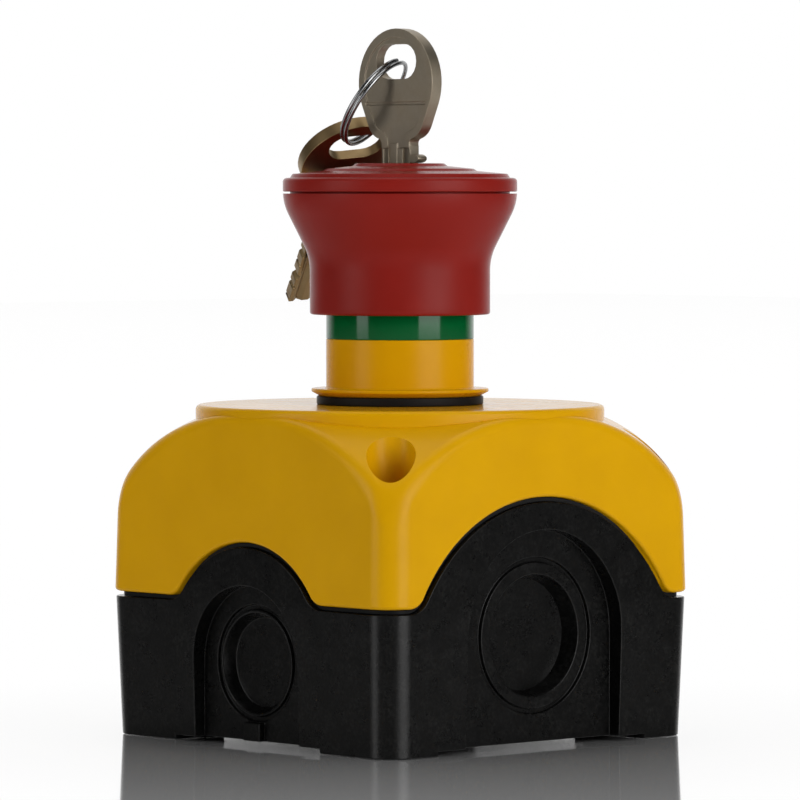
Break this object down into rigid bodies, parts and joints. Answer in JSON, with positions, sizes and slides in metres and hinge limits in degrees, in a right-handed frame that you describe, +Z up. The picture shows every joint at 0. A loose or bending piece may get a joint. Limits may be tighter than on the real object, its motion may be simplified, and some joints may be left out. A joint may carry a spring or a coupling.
{
  "type": "emergency stop push button",
  "caption": "Emergency stop station: red key-release mushroom head with a green released band on a yellow and black surface-mounting enclosure, keys on a split ring.",
  "frame": {"origin": "middle of the four wall fixing holes, in the plane of the pads under the enclosure", "axes": "+Z up through the mushroom head along its travel; -Y is the side with the wide arch and the large cable entry, as is +Y; X is the side with the narrow arch"},
  "size_m": [0.0726, 0.0819, 0.1217],
  "materials": {
    "yellow": "fine spark-eroded satin",
    "black": "grained",
    "red": "satin",
    "green": "gloss",
    "rubber": "matt",
    "grey": "satin",
    "white": "satin",
    "block": "satin",
    "key": "worn nickel plating",
    "lock": "satin nickel plating",
    "ring": "bright",
    "steel": "zinc plated",
    "brass": "stamped"
  },
  "bodies": {
    "enclosure": {"base": "black", "lid": "yellow", "lid_seal": "rubber", "lid_screws": "steel", "panel_gasket": "rubber", "collar": "yellow", "green_band": "green", "mounting_nut": "grey", "contact_adapter": "grey", "contact_block_left": "block", "contact_block_right": "block", "fixed_contacts_left": "brass", "fixed_contacts_right": "brass", "terminal_screws_left": "steel", "terminal_screws_right": "steel", "terminal_clamps_left": "steel", "terminal_clamps_right": "steel", "return_spring": "steel", "contact_spring_left": "steel", "contact_spring_right": "steel"},
    "head": {"mushroom_skirt": "red", "mushroom_cap": "red", "plunger_stem": "white", "lock_body": "lock"},
    "plug": {"lock_plug": "lock", "release_cam": "steel"},
    "bolt_left": {"latch_bolt_left": "brass"},
    "bolt_right": {"latch_bolt_right": "brass"},
    "key": {"key": "key"},
    "ring": {"split_ring": "ring"},
    "spare_key": {"spare_key": "key"},
    "carrier_left": {"contact_plunger_left": "white", "contact_bridge_left": "brass"},
    "carrier_right": {"contact_plunger_right": "white", "contact_bridge_right": "brass"}
  },
  "joints": [
    {"name": "head_press", "type": "slide", "parent": "enclosure", "child": "head", "axis": [0, 0, -1], "range_m": [0, 0.004], "stiffness_N_per_m": 1500, "springref_m": -0.006, "deforming": ["return_spring"]},
    {"name": "left_contact_slide", "type": "slide", "parent": "enclosure", "child": "carrier_left", "axis": [0, 0, -1], "range_m": [0, 0.004], "deforming": ["contact_spring_left"]},
    {"name": "right_contact_slide", "type": "slide", "parent": "enclosure", "child": "carrier_right", "axis": [0, 0, -1], "range_m": [0, 0.004], "deforming": ["contact_spring_right"]},
    {"name": "key_turn", "type": "hinge", "parent": "head", "child": "plug", "pos_m": [0, 0, 0.0985], "axis": [0, 0, -1], "range_deg": [0, 60], "stiffness_Nm_per_rad": 0.03, "springref_deg": -17.19},
    {"name": "left_bolt_draw", "type": "slide", "parent": "head", "child": "bolt_left", "axis": [0, -1, 0], "range_m": [0, 0.0012]},
    {"name": "right_bolt_draw", "type": "slide", "parent": "head", "child": "bolt_right", "axis": [0, 1, 0], "range_m": [0, 0.0012]},
    {"name": "key_withdraw", "type": "slide", "parent": "plug", "child": "key", "axis": [0, 0, 1], "range_m": [0, 0.026]},
    {"name": "ring_swing", "type": "hinge", "parent": "key", "child": "ring", "pos_m": [0, 0.00225, 0.11558], "axis": [0.9299, 0.1933, 0.3128], "range_deg": [0, 25]},
    {"name": "spare_key_swing", "type": "hinge", "parent": "ring", "child": "spare_key", "pos_m": [0.00285, 0.0125, 0.10339], "axis": [0.934, 0.2469, 0.2583], "range_deg": [0, 25]}
  ],
  "couplings": [
    {"joint": "left_contact_slide", "follows": "head_press", "ratio": 1},
    {"joint": "right_contact_slide", "follows": "head_press", "ratio": 1},
    {"joint": "left_bolt_draw", "follows": "key_turn", "m_per_rad": 0.0011459},
    {"joint": "right_bolt_draw", "follows": "key_turn", "m_per_rad": 0.0011459}
  ]
}
